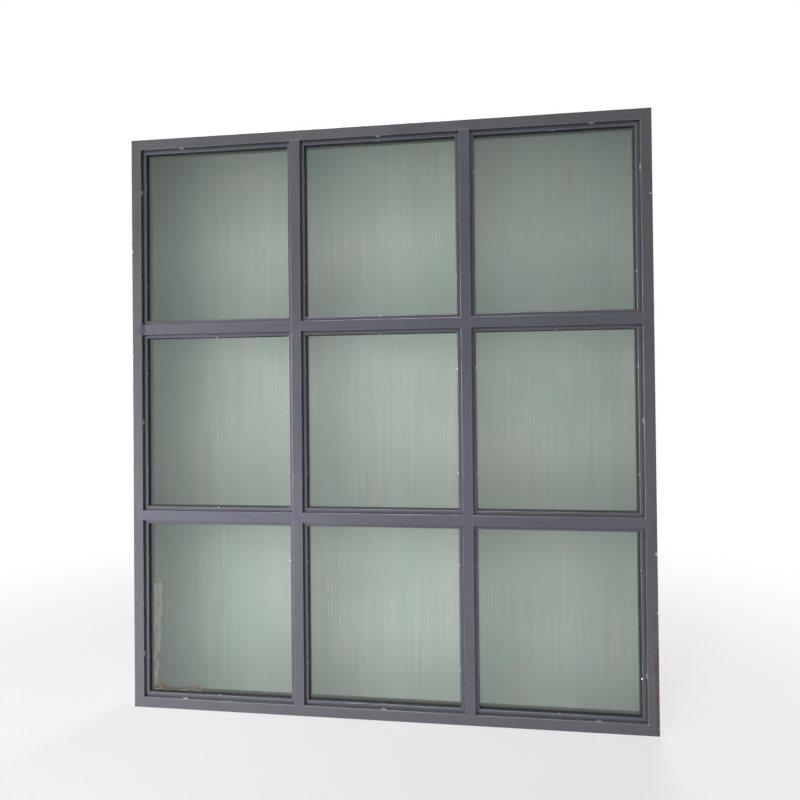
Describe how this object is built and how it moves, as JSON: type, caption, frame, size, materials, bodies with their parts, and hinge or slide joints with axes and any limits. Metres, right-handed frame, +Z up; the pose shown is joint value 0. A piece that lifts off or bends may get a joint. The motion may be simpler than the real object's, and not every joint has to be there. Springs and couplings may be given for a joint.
{
  "type": "explosion-proof window",
  "caption": "Fixed blast-resistant window: welded steel tube frame and grid with laminated lights held between rear stops and screwed mitred beads.",
  "frame": {"origin": "middle of the sill's underside, at half the frame's depth", "axes": "+X to the right seen from the front, +Y from the outer front face to the back, +Z up"},
  "size_m": [2, 0.08, 2.26],
  "materials": {
    "frame_paint": "semi-gloss grey paint on steel tube",
    "bead_paint": "semi-gloss grey paint on folded steel strip",
    "laminated_glass": "polished, pale green tint",
    "black_gasket": "matt black"
  },
  "bodies": {
    "root": {"left_jamb": "frame_paint", "right_jamb": "frame_paint", "head_rail": "frame_paint", "sill_rail": "frame_paint", "left_mullion": "frame_paint", "right_mullion": "frame_paint", "lower_transom_left": "frame_paint", "lower_transom_centre": "frame_paint", "lower_transom_right": "frame_paint", "upper_transom_left": "frame_paint", "upper_transom_centre": "frame_paint", "upper_transom_right": "frame_paint", "glass_bottom_left": "laminated_glass", "bead_bottom_left": "bead_paint", "stop_bottom_left": "bead_paint", "glass_bottom_centre": "laminated_glass", "bead_bottom_centre": "bead_paint", "stop_bottom_centre": "bead_paint", "glass_bottom_right": "laminated_glass", "bead_bottom_right": "bead_paint", "stop_bottom_right": "bead_paint", "gaskets_bottom_row": "black_gasket", "glass_middle_left": "laminated_glass", "bead_middle_left": "bead_paint", "stop_middle_left": "bead_paint", "glass_middle_centre": "laminated_glass", "bead_middle_centre": "bead_paint", "stop_middle_centre": "bead_paint", "glass_middle_right": "laminated_glass", "bead_middle_right": "bead_paint", "stop_middle_right": "bead_paint", "gaskets_middle_row": "black_gasket", "glass_top_left": "laminated_glass", "bead_top_left": "bead_paint", "stop_top_left": "bead_paint", "glass_top_centre": "laminated_glass", "bead_top_centre": "bead_paint", "stop_top_centre": "bead_paint", "glass_top_right": "laminated_glass", "bead_top_right": "bead_paint", "stop_top_right": "bead_paint", "gaskets_top_row": "black_gasket"}
  },
  "joints": []
}
